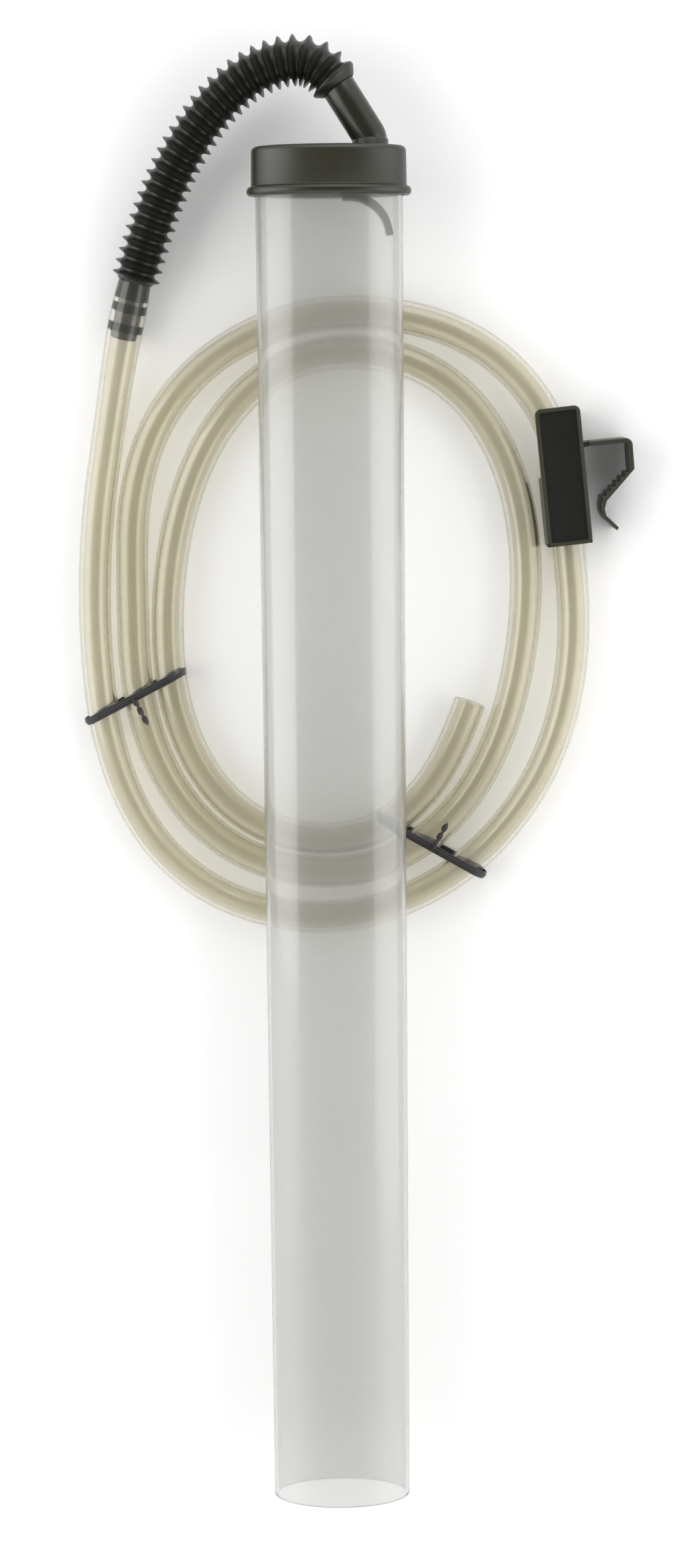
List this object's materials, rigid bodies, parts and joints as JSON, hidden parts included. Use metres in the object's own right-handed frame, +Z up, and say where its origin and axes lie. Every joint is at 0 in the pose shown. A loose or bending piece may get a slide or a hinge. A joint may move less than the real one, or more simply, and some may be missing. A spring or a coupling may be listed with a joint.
{
  "type": "gravel vacuum siphon",
  "caption": "Aquarium gravel vacuum: clear oval suction tube in a black cap, leaning outlet, ribbed non-kink hose, clear siphon hose coiled flat, and a bucket clip.",
  "frame": {"origin": "centre of the gravel tube's open mouth, on the tube's axis; the table that the siphon lies on is 30.3 mm below it", "axes": "+Y along the tube from its mouth to the cap, +Z up from the table, +X towards the bucket clip"},
  "size_m": [0.2421, 0.643, 0.0499],
  "materials": {
    "clear_tube": "clear rigid plastic with a faint smoky haze",
    "black_plastic": "moulded black plastic with a satin surface",
    "ribbed_hose": "blow-moulded black ribbed hose",
    "clear_hose": "soft clear hose with a straw tint",
    "twist_tie": "coated wire tie"
  },
  "bodies": {
    "cap_and_hose": {"cap": "black_plastic", "outlet_spout": "black_plastic", "gravel_guard": "black_plastic", "corrugated_hose": "ribbed_hose", "hose_connector": "black_plastic", "hose_lead": "clear_hose", "hose_coil": "clear_hose", "hose_end": "clear_hose", "hose_tie_left": "twist_tie", "hose_tie_right": "twist_tie"},
    "tube": {"gravel_tube": "clear_tube"},
    "clip": {"clip_body": "black_plastic"},
    "jaw": {"clip_jaw": "black_plastic"}
  },
  "joints": [
    {"name": "tube_pull", "type": "slide", "parent": "cap_and_hose", "child": "tube", "axis": [0, -1, 0], "range_m": [0, 0.03]},
    {"name": "clip_slide", "type": "slide", "parent": "cap_and_hose", "child": "clip", "axis": [-0.1045, 0.9945, 0], "range_m": [-0.018, 0.004]},
    {"name": "jaw_flex", "type": "hinge", "parent": "clip", "child": "jaw", "pos_m": [0.11048, 0.47337, -0.0216], "axis": [0, 0, 1], "range_deg": [0, 10], "stiffness_Nm_per_rad": 0.15}
  ]
}
